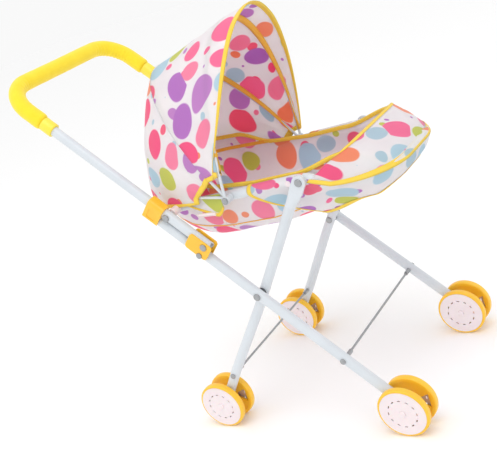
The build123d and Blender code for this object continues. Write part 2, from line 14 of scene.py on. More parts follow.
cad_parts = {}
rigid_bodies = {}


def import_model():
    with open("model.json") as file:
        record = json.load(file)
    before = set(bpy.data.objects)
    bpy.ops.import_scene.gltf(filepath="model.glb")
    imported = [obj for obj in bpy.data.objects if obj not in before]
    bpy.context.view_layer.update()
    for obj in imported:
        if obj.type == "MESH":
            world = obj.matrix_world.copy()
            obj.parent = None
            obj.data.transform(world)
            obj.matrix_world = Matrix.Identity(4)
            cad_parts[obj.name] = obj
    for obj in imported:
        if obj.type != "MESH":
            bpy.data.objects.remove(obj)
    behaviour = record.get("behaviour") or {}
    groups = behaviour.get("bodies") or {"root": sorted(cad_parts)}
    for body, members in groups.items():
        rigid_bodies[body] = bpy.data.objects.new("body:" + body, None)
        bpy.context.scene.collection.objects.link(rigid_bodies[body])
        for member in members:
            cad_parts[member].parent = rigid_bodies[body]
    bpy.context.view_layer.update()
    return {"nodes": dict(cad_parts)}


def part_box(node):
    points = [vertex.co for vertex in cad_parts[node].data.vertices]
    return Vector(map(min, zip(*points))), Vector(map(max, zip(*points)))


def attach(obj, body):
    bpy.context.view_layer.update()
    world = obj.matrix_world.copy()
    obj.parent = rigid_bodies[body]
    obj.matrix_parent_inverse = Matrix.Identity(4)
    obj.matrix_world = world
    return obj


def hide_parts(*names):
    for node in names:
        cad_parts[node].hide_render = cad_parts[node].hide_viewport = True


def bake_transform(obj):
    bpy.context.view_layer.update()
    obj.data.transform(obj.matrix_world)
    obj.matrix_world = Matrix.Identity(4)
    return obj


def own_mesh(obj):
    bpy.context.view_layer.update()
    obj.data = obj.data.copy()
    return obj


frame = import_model()
bpy.ops.object.select_all(action="DESELECT")
MM = 0.001

# %% [markdown]
# Colours are written as sRGB hex values, as a printer or a powder coater would state them, and
# one function turns them to the linear values that shaders use. A second small function adds a
# shader node, so that each material below reads as a list of its layers.


# %% Colour and node helpers
def srgb(code):
    """Linear colour of an sRGB hex value such as FFD22E."""
    channels = [int(code[i : i + 2], 16) / 255 for i in (0, 2, 4)]
    linear = [c / 12.92 if c <= 0.04045 else ((c + 0.055) / 1.055) ** 2.4 for c in channels]
    return (*linear, 1.0)


def add_node(tree, kind, inputs=None, **settings):
    """Add a shader node, set it up, and fill or link its inputs."""
    made = tree.nodes.new(kind)
    for name, value in settings.items():
        setattr(made, name, value)
    for name, value in (inputs or {}).items():
        if isinstance(value, bpy.types.NodeSocket):
            tree.links.new(value, made.inputs[name])
        else:
            made.inputs[name].default_value = value
    return made


def hard_finish(name, light, dark, patch, grain, depth, **skin_values):
    """Material with two close tints in soft patches and a fine grain in its surface."""
    material = bpy.data.materials.new(name)
    material.use_nodes = True
    tree = material.node_tree
    skin = tree.nodes["Principled BSDF"]
    place = add_node(tree, "ShaderNodeTexCoord").outputs["Object"]
    cloud = add_node(tree, "ShaderNodeTexNoise", {"Vector": place, "Scale": 1 / patch})
    tint = add_node(
        tree,
        "ShaderNodeMixRGB",
        {"Fac": cloud.outputs["Fac"], "Color1": srgb(light), "Color2": srgb(dark)},
    )
    fine = add_node(tree, "ShaderNodeTexNoise", {"Vector": place, "Scale": 1 / grain})
    bump = add_node(
        tree,
        "ShaderNodeBump",
        {"Height": fine.outputs["Fac"], "Strength": 0.5, "Distance": depth},
    )
    tree.links.new(tint.outputs["Color"], skin.inputs["Base Color"])
    tree.links.new(bump.outputs["Normal"], skin.inputs["Normal"])
    for socket, value in skin_values.items():
        skin.inputs[socket.replace("_", " ")].default_value = value
    return material


print("white", srgb("FFFFFF"))

# %% [markdown]
# The tubes and bows are mild steel with a pale blue-white powder coat: a satin skin with a
# faint orange peel, its ripples about 3 mm apart. Fasteners, axles and cross rods are zinc
# plated. Covers, plugs and toggles are matte white polypropylene, and the clips, brackets and
# wheels are semi-gloss ABS and polypropylene in amber and orange-yellow, which let a little
# light in. The collars under the grip are yellow polypropylene. The grip is closed-cell foam,
# whose cells of about 1 mm break its surface up.

# %% Hard materials
powder_coat = hard_finish(
    "powder_coated_steel", "DDE2E7", "CCD3D9", 40 * MM, 3 * MM, 0.05 * MM,
    Roughness=0.38, Coat_Weight=0.25, Coat_Roughness=0.2,
)
zinc_plate = hard_finish(
    "zinc_plated_steel", "B4B6B8", "96989B", 6 * MM, 0.8 * MM, 0.04 * MM,
    Roughness=0.36, Metallic=1.0,
)
white_moulding = hard_finish(
    "white_polypropylene", "F4E9EA", "EBDDE0", 25 * MM, 1.2 * MM, 0.05 * MM,
    Roughness=0.5, Subsurface_Weight=0.08, Subsurface_Scale=2 * MM,
)
amber_moulding = hard_finish(
    "amber_moulded_abs", "FFC93C", "FBBB2C", 20 * MM, 1.5 * MM, 0.04 * MM,
    Roughness=0.34, Coat_Weight=0.2,
)
wheel_moulding = hard_finish(
    "orange_moulded_polypropylene", "FFCE38", "FFC02A", 30 * MM, 1.5 * MM, 0.05 * MM,
    Roughness=0.38, Coat_Weight=0.2, Subsurface_Weight=0.15, Subsurface_Scale=4 * MM,
)
grip_foam = hard_finish(
    "yellow_closed_cell_foam", "FFE72F", "F6D91C", 18 * MM, 0.9 * MM, 0.25 * MM,
    Roughness=0.85, Sheen_Weight=0.3, Sheen_Roughness=0.5,
)
collar_moulding = hard_finish(
    "yellow_polypropylene", "FFEB55", "F8DF3C", 20 * MM, 1.5 * MM, 0.04 * MM,
    Roughness=0.4, Coat_Weight=0.15,
)
print("hard finishes ready")

# %% [markdown]
# The cloth is a thin white polyester plain weave with printed dots: uneven rounded blobs, 29
# to 43 mm across, in pinks, purple, coral, light blue and lime, with small ones of up to 19 mm
# between them. A Voronoi pattern gives one blob per cell. Its centre distance, wobbled by
# noise, cuts the blob's edge, and the cell's random value picks the ink. Two such layers, one
# finer, fill the gaps as on the real print. The pattern sits in the cloth's own flat
# coordinates, which are true metres, so it isn't stretched. The threads, really 0.3 mm apart,
# are drawn 0.8 mm apart so that they show.

# %% Printed polyester
INKS = (
    "FF86B4", "CE8BDA", "FFA57E", "FF6C9F", "CBE6F2", "FF9FC0",
    "D79BDD", "FF7A9C", "C9E1EC", "FFB08E", "DCE272",
)
INK_WANDER = 0.6
CELL_SCATTER = 0.5
INK_EDGE = 30.0


def ink_layer(tree, flat, spacing, size, spread, shift, ground):
    """Blobs of ink over a ground colour; returns the printed colour."""
    wobble = add_node(
        tree,
        "ShaderNodeTexNoise",
        {"Vector": flat, "Scale": 0.5 / spacing, "Detail": 0.0},
        noise_dimensions="2D",
    )
    drift = add_node(
        tree,
        "ShaderNodeVectorMath",
        {0: wobble.outputs["Color"], 1: (INK_WANDER * spacing, INK_WANDER * spacing, 0.0)},
        operation="MULTIPLY",
    )
    bent = add_node(tree, "ShaderNodeVectorMath", {0: flat, 1: drift.outputs[0]})
    moved = add_node(tree, "ShaderNodeVectorMath", {0: bent.outputs[0], 1: (shift, shift * 0.7, 0)})
    cells = add_node(
        tree,
        "ShaderNodeTexVoronoi",
        {"Vector": moved.outputs[0], "Scale": 1 / spacing, "Randomness": CELL_SCATTER},
        voronoi_dimensions="2D",
    )
    pick = add_node(tree, "ShaderNodeSeparateColor", {"Color": cells.outputs["Color"]})
    inks = add_node(tree, "ShaderNodeValToRGB", {"Fac": pick.outputs["Red"]})
    inks.color_ramp.interpolation = "CONSTANT"
    for index, ink in enumerate(INKS):
        stops = inks.color_ramp.elements
        stop = stops[index] if index < 2 else stops.new(index / len(INKS))
        stop.position = index / len(INKS)
        stop.color = srgb(ink)
    reach = add_node(
        tree,
        "ShaderNodeMath",
        {0: pick.outputs["Green"], 1: spread, 2: size},
        operation="MULTIPLY_ADD",
    )
    inside = add_node(
        tree,
        "ShaderNodeMath",
        {0: reach.outputs[0], 1: cells.outputs["Distance"]},
        operation="SUBTRACT",
    )
    edge = add_node(
        tree,
        "ShaderNodeMath",
        {0: inside.outputs[0], 1: INK_EDGE},
        operation="MULTIPLY",
        use_clamp=True,
    )
    return add_node(
        tree,
        "ShaderNodeMixRGB",
        {"Fac": edge.outputs[0], "Color1": ground, "Color2": inks.outputs["Color"]},
    ).outputs["Color"]


def weave_bump(tree, flat, thread, depth):
    """Plain weave: two crossed thread waves as a bump."""
    height = None
    for axis in ("X", "Y"):
        wave = add_node(
            tree,
            "ShaderNodeTexWave",
            {"Vector": flat, "Scale": 0.314 / thread},
            bands_direction=axis,
        )
        if height is None:
            height = wave.outputs["Fac"]
        else:
            height = add_node(
                tree, "ShaderNodeMath", {0: height, 1: wave.outputs["Fac"]}, operation="MULTIPLY"
            ).outputs[0]
    return add_node(
        tree, "ShaderNodeBump", {"Height": height, "Strength": 0.4, "Distance": depth}
    ).outputs["Normal"]


def cloth_material(name, colour, sheer, thread):
    """Thin woven cloth: its colour, its threads and the light that comes through it."""
    material = bpy.data.materials.new(name)
    material.use_nodes = True
    tree = material.node_tree
    skin = tree.nodes["Principled BSDF"]
    flat = add_node(tree, "ShaderNodeUVMap", uv_map="UVMap").outputs["UV"]
    dye = colour(tree, flat)
    normal = weave_bump(tree, flat, thread, 0.12 * MM)
    tree.links.new(dye, skin.inputs["Base Color"])
    tree.links.new(normal, skin.inputs["Normal"])
    skin.inputs["Roughness"].default_value = 0.6
    skin.inputs["Sheen Weight"].default_value = 0.25
    skin.inputs["Sheen Roughness"].default_value = 0.4
    glow = add_node(tree, "ShaderNodeBsdfTranslucent", {"Color": dye, "Normal": normal})
    mix = add_node(
        tree, "ShaderNodeMixShader", {0: sheer, 1: skin.outputs[0], 2: glow.outputs[0]}
    )
    tree.links.new(mix.outputs[0], tree.nodes["Material Output"].inputs["Surface"])
    return material


def printed_dots(tree, flat):
    """White cloth with small blobs of ink, and large ones over them."""
    blush = add_node(
        tree, "ShaderNodeTexNoise", {"Vector": flat, "Scale": 22.0}, noise_dimensions="2D"
    )
    ground = add_node(
        tree,
        "ShaderNodeMixRGB",
        {"Fac": blush.outputs["Fac"], "Color1": srgb("FFFFFF"), "Color2": srgb("F4F1F4")},
    ).outputs["Color"]
    small = ink_layer(
        tree, flat, spacing=29 * MM, size=-0.12, spread=0.44, shift=13 * MM, ground=ground
    )
    return ink_layer(
        tree, flat, spacing=47 * MM, size=0.31, spread=0.15, shift=9 * MM, ground=small
    )


def plain_dye(light, dark):
    """Even dye that has taken a little unevenly."""

    def colour(tree, flat):
        faded = add_node(
            tree, "ShaderNodeTexNoise", {"Vector": flat, "Scale": 60.0}, noise_dimensions="2D"
        )
        return add_node(
            tree,
            "ShaderNodeMixRGB",
            {"Fac": faded.outputs["Fac"], "Color1": srgb(light), "Color2": srgb(dark)},
        ).outputs["Color"]

    return colour


polyester = cloth_material(
    "printed_polyester_weave", printed_dots, sheer=0.42, thread=0.8 * MM
)
yellow_tape = plain_dye("FFE45C", "FFD640")
orange_tape = plain_dye("FFCC50", "FFC03E")
binding_tape = cloth_material("yellow_binding_tape", yellow_tape, sheer=0.15, thread=0.9 * MM)
seam_tape = cloth_material("orange_seam_tape", orange_tape, sheer=0.2, thread=0.9 * MM)
print("cloths ready", len(INKS), "inks")

# %% [markdown]
# Each hard piece takes the finish that its maker gave it, picked by words in the name
# that the engineering model gives the piece.

# %% Dress the hard pieces
steel_nodes = ("leg_left", "leg_right", "handle_tube", "seat_rail", "_bow")
zinc_nodes = ("screws", "rivets", "washers", "_axle", "cross_rod")
amber_nodes = ("bracket", "clip")
for name, piece in frame["nodes"].items():
    if name.endswith("_wheel"):
        finish = wheel_moulding
    elif any(word in name for word in zinc_nodes) and not name.endswith("caps"):
        finish = zinc_plate
    elif "collar" in name:
        finish = collar_moulding
    elif any(word in name for word in amber_nodes):
        finish = amber_moulding
    elif any(word in name for word in steel_nodes):
        finish = powder_coat
    else:
        finish = white_moulding
    piece.data.materials.clear()
    piece.data.materials.append(finish)
print("dressed", len(frame["nodes"]), "pieces")

# %% [markdown]
# A soft piece starts as a flat grid, like the cut cloth on a table, and each of its points is
# then moved to where the sewn cloth goes. A surface is written as a function of two shares,
# across and along, from 0 to 1. The grid keeps its flat coordinates in metres as its UV map, so
# that the print lies on it undistorted.


# %% Cloth helpers
def finish_cloth(piece, material, thickness, body=None):
    """Give a shaped sheet its wall, its smooth shading, its material and its body."""
    bpy.ops.object.select_all(action="DESELECT")
    piece.select_set(True)
    bpy.context.view_layer.objects.active = piece
    wall = piece.modifiers.new("wall", "SOLIDIFY")
    wall.thickness = thickness
    wall.offset = 0.0
    bpy.ops.object.modifier_apply(modifier=wall.name)
    bpy.ops.object.shade_smooth()
    piece.data.materials.clear()
    piece.data.materials.append(material)
    if body:
        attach(piece, body)
    return piece


def cloth_grid(name, columns, rows, place, origin=(0.0, 0.0)):
    """Add a grid, move its points to where the cloth goes, and measure its flat coordinates."""
    bpy.ops.object.select_all(action="DESELECT")
    bpy.ops.mesh.primitive_grid_add(x_subdivisions=columns, y_subdivisions=rows, size=2)
    piece = bpy.context.object
    piece.name = name
    piece.data.name = name
    spots = piece.data.vertices
    for vertex in spots:
        vertex.co = place((vertex.co.x + 1) / 2, (vertex.co.y + 1) / 2)
    wide = columns + 1
    flat = [[0.0, 0.0] for _ in spots]
    for row in range(rows + 1):
        for column in range(1, wide):
            here = row * wide + column
            flat[here][0] = flat[here - 1][0] + (spots[here].co - spots[here - 1].co).length
        centre = flat[row * wide + wide // 2][0]
        for column in range(wide):
            flat[row * wide + column][0] += origin[0] - centre
    for column in range(wide):
        for row in range(1, rows + 1):
            here = row * wide + column
            run = (spots[here].co - spots[here - wide].co).length
            flat[here][1] = flat[here - wide][1] + run
        centre = flat[(rows // 2) * wide + column][1]
        for row in range(rows + 1):
            flat[row * wide + column][1] += origin[1] - centre
    layer = piece.data.uv_layers.active.data
    for loop in piece.data.loops:
        layer[loop.index].uv = flat[loop.vertex_index]
    return piece


def cloth_area(piece):
    """Area of a sheet, before it gets its wall."""
    return sum(face.area for face in piece.data.polygons)


def outward(surface, across, along, middle):
    """Unit normal of a surface, turned away from a point inside it."""
    step = 0.004
    a = surface(min(across + step, 1), along) - surface(max(across - step, 0), along)
    b = surface(across, min(along + step, 1)) - surface(across, max(along - step, 0))
    normal = a.cross(b).normalized()
    return -normal if normal.dot(surface(across, along) - middle) < 0 else normal


print("cloth grid ready")

# %% [markdown]
# Bindings and seam tapes are grids that follow an edge or a line of a surface, so they always
# fit their cloth. A binding is folded round a raw edge, and a seam tape lies flat on one side.

# %% Tape helper
TAPE_PLY = 0.5 * MM
TAPE_LIFT = 0.9 * MM
TAPE_COLUMNS = 12
FLAT_FOLD = 4


def tape(
    name, surface, middle, line, width, turns, body=None, lift=TAPE_LIFT, flat=False, bulge=0.0
):
    """Tape along a line of a surface: folded round the cloth's edge, or laid flat on one side.

    line gives the two shares of the surface for a share along the tape and a depth in metres.
    lift is how far the tape lies off the cloth, and bulge how much further over a wire.
    """

    def place(round_edge, run):
        if flat:
            depth, side = width * (round_edge - 0.5), 1
        else:
            fold = math.cos(math.pi * round_edge)
            depth = width * abs(fold)
            side = math.copysign(min(1.0, abs(fold) * FLAT_FOLD), fold)
        across, along = line(run, depth)
        spot = surface(across, along)
        if not flat and depth < 0.5 * lift:
            across_in, along_in = line(run, width)
            spot += (spot - surface(across_in, along_in)).normalized() * (0.5 * lift)
        off = lift * side - bulge * math.sin(math.pi * round_edge)
        return spot + outward(surface, across, along, middle) * off

    piece = cloth_grid(name, TAPE_COLUMNS, turns, place)
    return finish_cloth(piece, seam_tape if flat else binding_tape, TAPE_PLY, body)


print("tape helper ready")

# %% [markdown]
# The hood is stretched over three wire bows that share one hinge. Each bow is an arch: it
# leaves its eye almost straight, and rounds over the top. Cloth between two bows is drawn
# taut, so it runs nearly straight from one to the next, with a little slack at its middle and
# small puckers. The back panel is cut fuller, so it bulges behind the middle bow.

# %% Hood bows and arches
hinge_low, hinge_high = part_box("hood_rivets")
hinge = Vector(((hinge_low.x + hinge_high.x) / 2, 0, (hinge_low.z + hinge_high.z) / 2))
OVER_WIRE = 2.9 * MM
HEM_ANGLE, REAR_ANGLE, FULL_ANGLE = 183, 174, 148
MIDDLE_ANGLE, FRONT_ANGLE, VISOR_ANGLE = 124, 86, 75
HEM_REACH = 168 * MM
REAR_REACH = 165 * MM + OVER_WIRE
FULL_REACH = 190 * MM
MIDDLE_REACH = 203 * MM + OVER_WIRE
FRONT_REACH = 208 * MM + OVER_WIRE
VISOR_REACH = 227 * MM
REAR_SQUARE, FULL_SQUARE, ROUND = 3.2, 2.5, 2
REAR_BASE = 48 * MM
MIDDLE_BASE = 33 * MM
FRONT_BASE = 34 * MM
FAR_BASE = 13 * MM
REAR_BOW_SHARE = 0.13
FRONT_BOW_SHARE = 0.76
DRAWN_BACK = 26
rear_half = 101.4 * MM + OVER_WIRE
middle_half = 105.8 * MM + OVER_WIRE
front_half = 110.2 * MM + OVER_WIRE


def arch_point(angle, across, half, reach, square, base):
    """Point of an arch that stands at an angle round the hinge, from right to left.

    The cloth ends at base from the hinge on the right, and nearer to it on the left.
    """
    first = math.asin((base / reach) ** (square / 2))
    last = math.asin((FAR_BASE / reach) ** (square / 2))
    turn = math.pi - first - (math.pi - first - last) * across
    wide = half * math.copysign(abs(math.cos(turn)) ** (2 / square), math.cos(turn))
    out = reach * math.sin(turn) ** (2 / square)
    angle = math.radians(angle)
    return hinge + Vector((math.cos(angle) * out, wide, math.sin(angle) * out))


def pucker(across, along, seed, size):
    """Small smooth in-and-out of slack cloth."""
    broad = noise.noise(Vector((across * 9, along * 5, seed)))
    fine = noise.noise(Vector((across * 27, along * 7, seed + 4)))
    return size * (broad + 0.32 * fine)


def back_hood(across, along):
    """Back panel: from under the rear bow, up over it and forward to the middle bow."""
    hem_half = rear_half + 1.5 * MM
    hem = arch_point(HEM_ANGLE, across, hem_half, HEM_REACH, REAR_SQUARE, REAR_BASE)
    rear = arch_point(REAR_ANGLE, across, rear_half, REAR_REACH, REAR_SQUARE, REAR_BASE)
    between = (rear_half + middle_half) / 2 + 2 * MM
    full = arch_point(FULL_ANGLE, across, between, FULL_REACH, FULL_SQUARE, MIDDLE_BASE)
    middle = arch_point(MIDDLE_ANGLE, across, middle_half, MIDDLE_REACH, ROUND, MIDDLE_BASE)
    if along < REAR_BOW_SHARE:
        return hem.lerp(rear, along / REAR_BOW_SHARE)
    share = (along - REAR_BOW_SHARE) / (1 - REAR_BOW_SHARE)
    bent = rear * (1 - share) ** 2 + middle * share**2 + full * 2 * share * (1 - share)
    slack = pucker(across, along, 3.1, 2.4 * MM) * math.sin(math.pi * share)
    return bent + (bent - hinge).normalized() * slack


def front_hood(across, along):
    """Front panel: middle bow, front bow, then the visor's free edge."""
    middle = arch_point(MIDDLE_ANGLE, across, middle_half, MIDDLE_REACH, ROUND, MIDDLE_BASE)
    front = arch_point(FRONT_ANGLE, across, front_half, FRONT_REACH, ROUND, FRONT_BASE)
    angle = VISOR_ANGLE + DRAWN_BACK * (1 - math.sin(math.pi * min(across, 0.5))) ** 6
    visor = arch_point(angle, across, front_half, VISOR_REACH, ROUND, FRONT_BASE)
    if along < FRONT_BOW_SHARE:
        share = along / FRONT_BOW_SHARE
        bent = middle.lerp(front, share)
        free = math.sin(math.pi * share)
        slack = pucker(across, along, 7.7, 2 * MM) * free - 1.5 * MM * free
    else:
        share = (along - FRONT_BOW_SHARE) / (1 - FRONT_BOW_SHARE)
        bent = front.lerp(visor, share)
        slack = pucker(across, along, 1.3, 1.0 * MM) * share
    return bent + (bent - hinge).normalized() * slack


print("hinge", [round(v, 4) for v in hinge])

# %% [markdown]
# The two panels meet on the middle bow. The hem and the rear bow stay with the seat.

# %% Hood panels
PLY = 0.6 * MM


HOOD_GRID = (72, 44)
back_panel = cloth_grid("hood_back_cloth", *HOOD_GRID, back_hood)
back_area = cloth_area(back_panel)
finish_cloth(back_panel, polyester, PLY)
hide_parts("hood_back_panel")
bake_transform(back_panel)

front_panel = cloth_grid("hood_front_cloth", *HOOD_GRID, front_hood, (0.02, 0.21))
front_area = cloth_area(front_panel)
finish_cloth(front_panel, polyester, PLY)
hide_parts("hood_front_panel")
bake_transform(front_panel)
print("areas", round(back_area, 4), round(front_area, 4))

# %% [markdown]
# Yellow tape binds every raw edge of the hood, and a tape inside covers the seam where each bow
# runs through its sleeve. A folded tape follows the free edge. A flat one lies inside the cloth
# along the bow.

# %% Hood tapes
BINDING = 7 * MM
SIDE_BINDING = 5 * MM
BACK_LENGTH = 170 * MM
FRONT_LENGTH = 160 * MM
BACK_WIDTH = 420 * MM
FRONT_WIDTH = 480 * MM
SIDES = (("right", 0, 1), ("left", 1, -1))


def along_edge(edge, length, inward):
    """Line of a surface along its near or far edge, going inwards with depth."""

    def line(run, depth):
        return run, min(1.0, max(0.0, edge + inward * depth / length))

    return line


def across_edge(edge, length, inward, first=0.0, last=1.0):
    """Line of a surface along its left or right edge, going inwards with depth."""

    def line(run, depth):
        return min(1.0, max(0.0, edge + inward * depth / length)), first + (last - first) * run

    return line


visor_line = along_edge(1, FRONT_LENGTH, -1)
tape("visor_binding", front_hood, hinge, visor_line, BINDING, 90, "front_bow")
hem_line = along_edge(0, BACK_LENGTH, 1)
tape("hood_hem_binding", back_hood, hinge, hem_line, BINDING, 90, "seat_frame")
for side_name, edge, inward in SIDES:
    front_edge = tape(
        f"front_panel_binding_{side_name}",
        front_hood,
        hinge,
        across_edge(edge, FRONT_WIDTH, inward),
        SIDE_BINDING,
        20,
    )
    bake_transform(front_edge)
    back_edge = tape(
        f"back_panel_binding_{side_name}",
        back_hood,
        hinge,
        across_edge(edge, BACK_WIDTH, inward),
        SIDE_BINDING,
        20,
    )
    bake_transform(back_edge)


def seam_line(place, length):
    """Line of a surface across it, at one share along it."""

    def line(run, depth):
        return run, min(1.0, max(0.0, place + depth / length))

    return line


INSIDE = -TAPE_LIFT
SLEEVE_BULGE = 5.2 * MM
SLEEVE_TAPE = 11 * MM
for seam_name, surface, place, body in (
    ("front_bow_seam_tape", front_hood, FRONT_BOW_SHARE, "front_bow"),
    ("middle_bow_seam_tape", front_hood, 0.035, "middle_bow"),
    ("rear_bow_seam_tape", back_hood, REAR_BOW_SHARE, "seat_frame"),
):
    line = seam_line(place, FRONT_LENGTH)
    tape(seam_name, surface, hinge, line, SLEEVE_TAPE, 90, body, INSIDE, True, SLEEVE_BULGE)
print("hood tapes ready")

# %% [markdown]
# The seat is a soft tub sewn from the same cloth, hung inside the rail. Its cross-section is a
# rounded box, narrower at the floor, and its plan is a long rounded oblong, so the tub is one
# surface. The floor sags a little between the ends, and the sides ripple where the cloth is
# gathered into its tape. Heights along it are read off a few stations, back to front.

# %% Seat tub shape
seat_low, seat_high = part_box("seat_body")
rail_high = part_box("seat_rail")[1]
rear_axle_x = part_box("rear_left_axle")[0].x + 2.5 * MM


def read_off(stations, x):
    """Height at a distance from the back, from stations of distance and height in millimetres."""
    mm = (x - rear_axle_x) / MM
    for (x0, z0), (x1, z1) in zip(stations, stations[1:]):
        if mm <= x1:
            share = max(0.0, min(1.0, (mm - x0) / (x1 - x0)))
            share = share * share * (3 - 2 * share)
            return (z0 + (z1 - z0) * share) * MM
    return stations[-1][1] * MM


RIM = ((-36, 372), (25, 370), (85, 351), (150, 350), (205, 354), (283, 371), (327, 347))
RAIL_LEVEL = 350 * MM
FLOOR = ((-36, 264), (32, 257), (122, 266), (225, 283), (300, 300), (327, 309))
PLAN_SQUARE, END_SQUARE, SECTION_SQUARE = 6.0, 5, 3.6
TUB_HALF = 81 * MM
NARROWING = 0.2
RIPPLE = 1.8 * MM
TUB_GIRTH = 330 * MM
RIM_BINDING = 5 * MM
FLOOR_SEAM = 3 * MM


def tub_plan(along):
    """Distance along, share of the full width, rim height and depth at a share of the length."""
    turn = math.pi * along
    plan = max(math.sin(turn), 1e-6)
    reach = (seat_high.x - seat_low.x) / 2 - 0.5 * MM
    middle = (seat_high.x + seat_low.x) / 2
    x = middle - reach * math.copysign(abs(math.cos(turn)) ** (2 / PLAN_SQUARE), math.cos(turn))
    rim = read_off(RIM, x)
    deep = (rim - read_off(FLOOR, x)) * plan ** (2 / END_SQUARE)
    return x, plan ** (2 / PLAN_SQUARE), rim, deep


def tub(across, along):
    """Seat cloth from the right rim down, over the floor and up to the left rim."""
    x, wide_share, rim, deep = tub_plan(along)
    lap = math.pi * across
    down = max(math.sin(lap), 0.0) ** (2 / SECTION_SQUARE)
    wide = -TUB_HALF * wide_share
    wide *= math.copysign(abs(math.cos(lap)) ** (2 / SECTION_SQUARE), math.cos(lap))
    ripple = noise.noise(Vector((x / 0.035, across * 3, 5.2)))
    ripple += 0.4 * noise.noise(Vector((x / 0.012, across * 6, 1.7)))
    ripple *= RIPPLE * down
    narrow = 1 - NARROWING * down**1.5
    return Vector((x, wide * narrow - ripple, rim - deep * down + ripple))


print("tub", round(seat_high.x - seat_low.x, 3), "m long")

# %% [markdown]
# The tub is cut from the printed cloth. Tape binds its rim, which stands higher than the rail
# at the head end. There a seam inside runs level with the rail, and two more follow the corners
# of the floor.

# %% Tub cloth and tapes
seat_cloth = cloth_grid("seat_cloth", 72, 120, tub, (0.31, 0.47))
seat_area = cloth_area(seat_cloth)
finish_cloth(seat_cloth, polyester, PLY, "seat_frame")
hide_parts("seat_body")
tub_middle = Vector((0.06, 0, 0.33))


def rim_line(left, start=0.02, end=0.98, level=None):
    """Line along the seat's rim, or along one level below it, going down with depth."""

    def line(run, depth):
        along = start + (end - start) * run
        _, _, rim, deep = tub_plan(along)
        drop = depth if level is None else max(0.0, rim - level) + depth
        down = max(0.0, min(1.0, drop / deep)) ** (SECTION_SQUARE / 2)
        across = math.asin(down) / math.pi
        return (1 - across if left else across), along

    return line


def floor_line(place):
    """Line along the tub's lower corner seam."""

    def line(run, depth):
        return place + depth / TUB_GIRTH, 0.14 + 0.72 * run

    return line


for side_name, left in (("right", False), ("left", True)):
    line = rim_line(left)
    name = f"seat_rim_binding_{side_name}"
    tape(name, tub, tub_middle, line, RIM_BINDING, 120, "seat_frame")
    line = rim_line(left, 0.03, 0.484, RAIL_LEVEL)
    name = f"head_seam_{side_name}"
    tape(name, tub, tub_middle, line, RIM_BINDING, 60, "seat_frame", INSIDE, True)
for side_name, place in (("right", 0.2), ("left", 0.8)):
    line = floor_line(place)
    name = f"floor_seam_{side_name}"
    tape(name, tub, tub_middle, line, FLOOR_SEAM, 90, "seat_frame", 0.8 * MM, True)
print("seat area", round(seat_area, 4))

# %% [markdown]
# A sleeve of the same cloth wraps the rail, from a little behind the rear legs' rivets
# forward, so the rail is hidden there. From the sleeve an outer side panel hangs to a bound
# seam at the floor, and its rear edge slants forward as it goes down. The rail's plan is two
# straight sides, two corners and a straight front, and the sleeve follows it at a constant
# distance.

# %% Sleeve and side panel
TUBE = 7 * MM
CORNER = 65 * MM
RAIL_HALF = 92 * MM
RAIL_TOP = ((14, 331), (223, 348), (262, 337.5), (334, 337.5))


def rail_plan(share, start, outside):
    """Plan point and outward direction, from the right side round the front to the left."""
    front = rail_high.x - TUBE
    side_run = front - CORNER - start
    arc_run = CORNER * math.pi / 2
    front_half = RAIL_HALF - CORNER
    total = 2 * side_run + 2 * arc_run + 2 * front_half
    walk, mirror = total * share, 1
    if walk > total / 2:
        walk, mirror = total - walk, -1
    if walk <= side_run:
        spot, out = Vector((start + walk, -RAIL_HALF, 0)), Vector((0, -1, 0))
    elif walk <= side_run + arc_run:
        turn = (walk - side_run) / CORNER
        out = Vector((math.sin(turn), -math.cos(turn), 0))
        spot = Vector((front - CORNER, -front_half, 0)) + out * CORNER
    else:
        spot = Vector((front, -front_half + walk - side_run - arc_run, 0))
        out = Vector((1, 0, 0))
    spot += out * outside
    spot.y *= mirror
    out.y *= mirror
    return spot, out


def rail_height(x):
    """Height of the rail's middle line."""
    mm = (x - rear_axle_x) / MM
    for (x0, z0), (x1, z1) in zip(RAIL_TOP, RAIL_TOP[1:]):
        if mm <= x1:
            return (z0 + (z1 - z0) * (mm - x0) / (x1 - x0)) * MM
    return RAIL_TOP[-1][1] * MM


SLEEVE_START = rear_axle_x + 141 * MM
PANEL_SLANT = 88 * MM
SLEEVE = TUBE + 0.5 * MM
WRAP_SHARE = 0.34
WRAP_FIRST, WRAP_LAST = 125, -25
SEAM_IN = 0.70
SEAM_LENGTH = 0.93
PANEL_PLY = 0.4 * MM


def side_panel(across, along):
    """From the rail's inner top, over the rail, and down to the floor seam."""
    spot, out = rail_plan(across, SLEEVE_START, 0.0)
    axis = Vector((spot.x, spot.y, rail_height(spot.x)))
    if along < WRAP_SHARE:
        turn = math.radians(WRAP_FIRST - (WRAP_FIRST - WRAP_LAST) * along / WRAP_SHARE)
        return axis + out * (math.cos(turn) * SLEEVE) + Vector((0, 0, math.sin(turn) * SLEEVE))
    leave = math.radians(WRAP_LAST)
    top = axis + out * (math.cos(leave) * SLEEVE) + Vector((0, 0, math.sin(leave) * SLEEVE))
    share = (along - WRAP_SHARE) / (1 - WRAP_SHARE)
    length = rail_high.x - SLEEVE_START
    slant = PANEL_SLANT * (1 - (spot.x - SLEEVE_START) / length)
    top.x += slant * share**1.5 * (1 - share) * 0.6
    seam_x = SLEEVE_START + slant + (spot.x - SLEEVE_START) * SEAM_LENGTH
    seam = Vector((seam_x, spot.y * SEAM_IN, read_off(FLOOR, seam_x) + 5 * MM))
    belly = math.sin(math.pi * share) * (
        3.5 * MM + 2 * MM * noise.noise(Vector((across * 11, along * 3, 9)))
    )
    drop = top.lerp(seam, share)
    drop.x += slant * (share**1.5 - share)
    return drop + out * belly * 0.8 + Vector((0, 0, -belly * 0.4))


